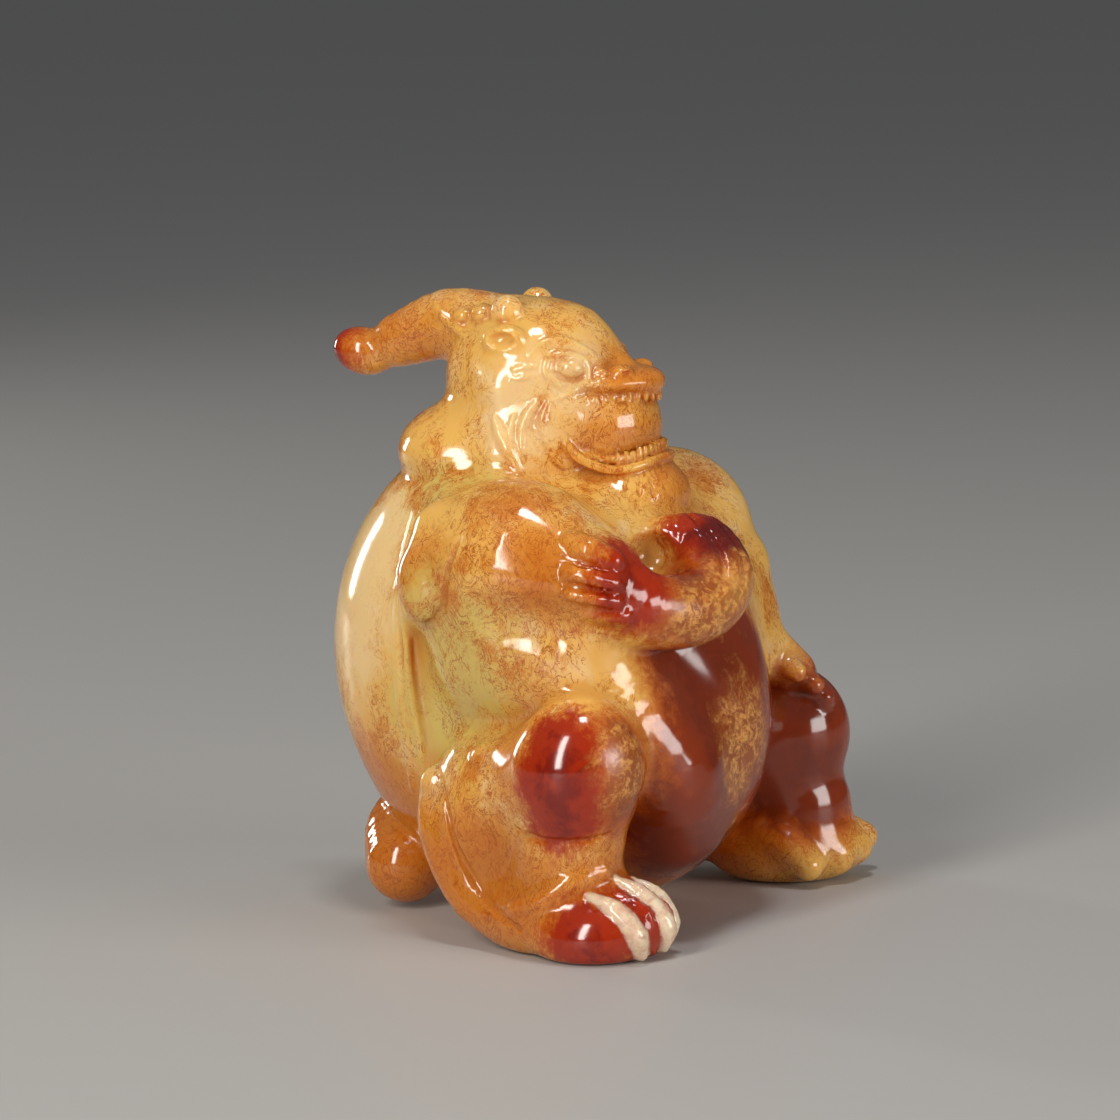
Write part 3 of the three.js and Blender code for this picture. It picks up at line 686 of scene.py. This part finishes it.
# Iron in the stone: an orange dust, curling threads and finer brown hairs; and painted shade, an orange
# darkening laid into grooves and hollows.
dusted = (cloud - 0.5) * 0.9 + (patchy - 0.5) * 0.9 - region("amber") * 0.02
threads = rise(abs(fibre - 0.5), 0.035, 0.0) * rise(dusted, -0.16, 0.12) * (1 - pale * 0.8)
hairs = rise(abs(hair - 0.5), 0.030, 0.004) * rise(dusted + (milk - 0.5) * 0.6, -0.26, 0.02)
hairs = hairs * (1 - pale * 0.75)
colour = over(colour, orange_vein, rise(grain + dusted, 0.52, 0.78, 0.55) * (1 - pale * 0.8))
colour = over(colour, orange_vein, threads * 0.85)
colour = over(colour, burnt, hairs * 0.85)
# Painted shade: orange darkening in grooves and hollows, deeper where the surface is more recessed.
colour = over(colour, orange_vein, rise(region("hollow"), 0.08, 0.5, 0.6))

# The skin of the pebble: liver brown on belly and leg, russet on knee, paw and toes, a
# rough golden crust over parts of both, and claws cut down to clean cream stone.
dark = region("dark") + ragged * 0.7
colour = over(colour, rust, rise(dark, 2.6, 0.0, 0.85))
colour = over(colour, liver, rise(dark, 1.0, -1.2, 0.95))
colour = over(colour, oxblood, rise(dark + (cloud - 0.5) * 8 + (patchy - 0.5) * 4, -1.6, -4.6, 0.7))
red = region("red") + ragged * 0.6 + (fibre - 0.5) * 4
colour = over(colour, rust, rise(red, 1.8, 0.2, 0.9))
colour = over(colour, russet, rise(red, 0.8, -0.6, 0.95))
colour = over(colour, crimson, rise(red + (patchy - 0.5) * 7, -1.0, -3.6, 0.75))
colour = over(colour, wine, rise(region("wine") + ragged * 0.5, 1.4, -1.0, 0.85))
crusty = rise(region("crust") + ragged * 1.1, 1.6, -1.4)
colour = over(colour, tan, crusty * 0.7)
crust_grain = rise(grain + fine * 0.5, 0.66, 0.92)
colour = over(colour, crust_gold, crusty * crust_grain * 0.9)
colour = over(colour, claw_cream, rise(region("claw") + (grain - 0.5) * 0.3, 0.18, -0.06, 0.94))

# The polish is high, and duller and pitted on the crust.
polish = (patchy - 0.5) * 0.06 + (fine - 0.5) * 0.05 + 0.12 + crusty * 0.2
pits = (grain - 0.5) * 0.2 + crusty * crust_grain * 0.8 + (patchy - 0.5) * 0.1
bump = Shade.node("ShaderNodeBump", {}, {"Strength": 0.10, "Distance": 0.0002, "Height": pits})
stone = Shade.node("ShaderNodeBsdfPrincipled", {"subsurface_method": "RANDOM_WALK"},
                   {"Base Color": colour, "Roughness": polish, "Normal": bump, "IOR": 1.58,
                    "Subsurface Weight": 0.5, "Subsurface Radius": (1.0, 0.42, 0.12),
                    "Subsurface Scale": 0.0025})
Shade.node("ShaderNodeOutputMaterial", {}, {"Surface": stone})
mesh.materials.append(jade)

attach(carving, "root")
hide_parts("bear_carving")

# The studio is a plain pale table with soft light from panels and a grey room, seen from the
# bear's right front, a little above the level of its paws, through a long lens.
HALF_TABLE = 3.0
table_corners = [(x * HALF_TABLE, y * HALF_TABLE, 0) for x, y in ((-1, -1), (1, -1), (1, 1), (-1, 1))]
floor_mesh = bpy.data.meshes.new("floor")
floor_mesh.from_pydata(table_corners, [], [(0, 1, 2, 3)])
floor = bpy.data.objects.new("floor", floor_mesh)
bpy.context.scene.collection.objects.link(floor)
table_top = bpy.data.materials.new("table_top")
table_top.use_nodes = True
table_top.node_tree.nodes.clear()
Shade.tree = table_top.node_tree
paint = Shade.node("ShaderNodeBsdfPrincipled", {},
                   {"Base Color": (0.50, 0.49, 0.47, 1), "Roughness": 0.55})
Shade.node("ShaderNodeOutputMaterial", {}, {"Surface": paint})
floor_mesh.materials.append(table_top)

TARGET = Vector((-0.177, -0.135, 29.1)) * MM


def towards(azimuth, elevation):
    """The way from the carving to a place round it; azimuth 0 is in front, 90 on its left."""
    a, e = radians(azimuth), radians(elevation)
    return Vector((sin(a) * cos(e), -cos(a) * cos(e), sin(e)))


def panel(name, azimuth, elevation, away, wide, high, watts, colour=(1, 1, 1)):
    """A soft rectangular light that faces the carving."""
    back = towards(azimuth, elevation)
    data = bpy.data.lights.new(name, "AREA")
    data.shape, data.size, data.size_y, data.energy, data.color = "RECTANGLE", wide, high, watts, colour
    light = bpy.data.objects.new(name, data)
    light.location = TARGET + back * away
    light.rotation_mode = "QUATERNION"
    light.rotation_quaternion = back.to_track_quat("Z", "Y")
    bpy.context.scene.collection.objects.link(light)


panel("key", -95, 25, away=0.5, wide=0.08, high=0.40, watts=1.8, colour=(1, 0.96, 0.9))
panel("top", -50, 78, away=0.5, wide=0.08, high=0.08, watts=0.6)
panel("front", -5, 10, away=0.6, wide=0.32, high=0.20, watts=1.7, colour=(1, 0.97, 0.93))
panel("rim", 165, 9, away=0.5, wide=0.05, high=0.14, watts=0.5, colour=(1, 0.95, 0.88))

studio = bpy.data.worlds.new("studio")
bpy.context.scene.world = studio
studio.use_nodes = True
studio.node_tree.nodes.clear()
Shade.tree = studio.node_tree
level_grey, ceiling_grey = (0.10, 0.105, 0.115, 1), (0.42, 0.43, 0.45, 1)
sight = Shade.node("ShaderNodeTexCoord", {}, {}, out="Generated")
height = Shade.node("ShaderNodeSeparateXYZ", {}, {"Vector": sight}, out="Z")
walls = Shade.node("ShaderNodeValToRGB", {"stops": [(0.0, level_grey), (0.9, ceiling_grey)]},
                   {"Fac": height})
room = Shade.node("ShaderNodeBackground", {}, {"Color": walls, "Strength": 0.4})
Shade.node("ShaderNodeOutputWorld", {}, {"Surface": room})

AZIMUTH, ELEVATION, ROLL, DISTANCE = -60, 8, radians(1.5), 0.42
back = towards(AZIMUTH, ELEVATION)
right = towards(AZIMUTH + 90, 0)
up = back.cross(right)
rolled_right = right * cos(ROLL) - up * sin(ROLL)
rolled_up = up * cos(ROLL) + right * sin(ROLL)
turn = Matrix((rolled_right, rolled_up, back)).transposed().to_4x4()
view = bpy.data.cameras.new("camera")
view.lens, view.sensor_width, view.clip_start, view.clip_end = 162, 36, 0.01, 20
camera = bpy.data.objects.new("camera", view)
camera.matrix_world = Matrix.Translation(TARGET + back * DISTANCE) @ turn
bpy.context.scene.collection.objects.link(camera)
bpy.context.scene.camera = camera
bpy.context.scene.view_settings.view_transform = "Standard"
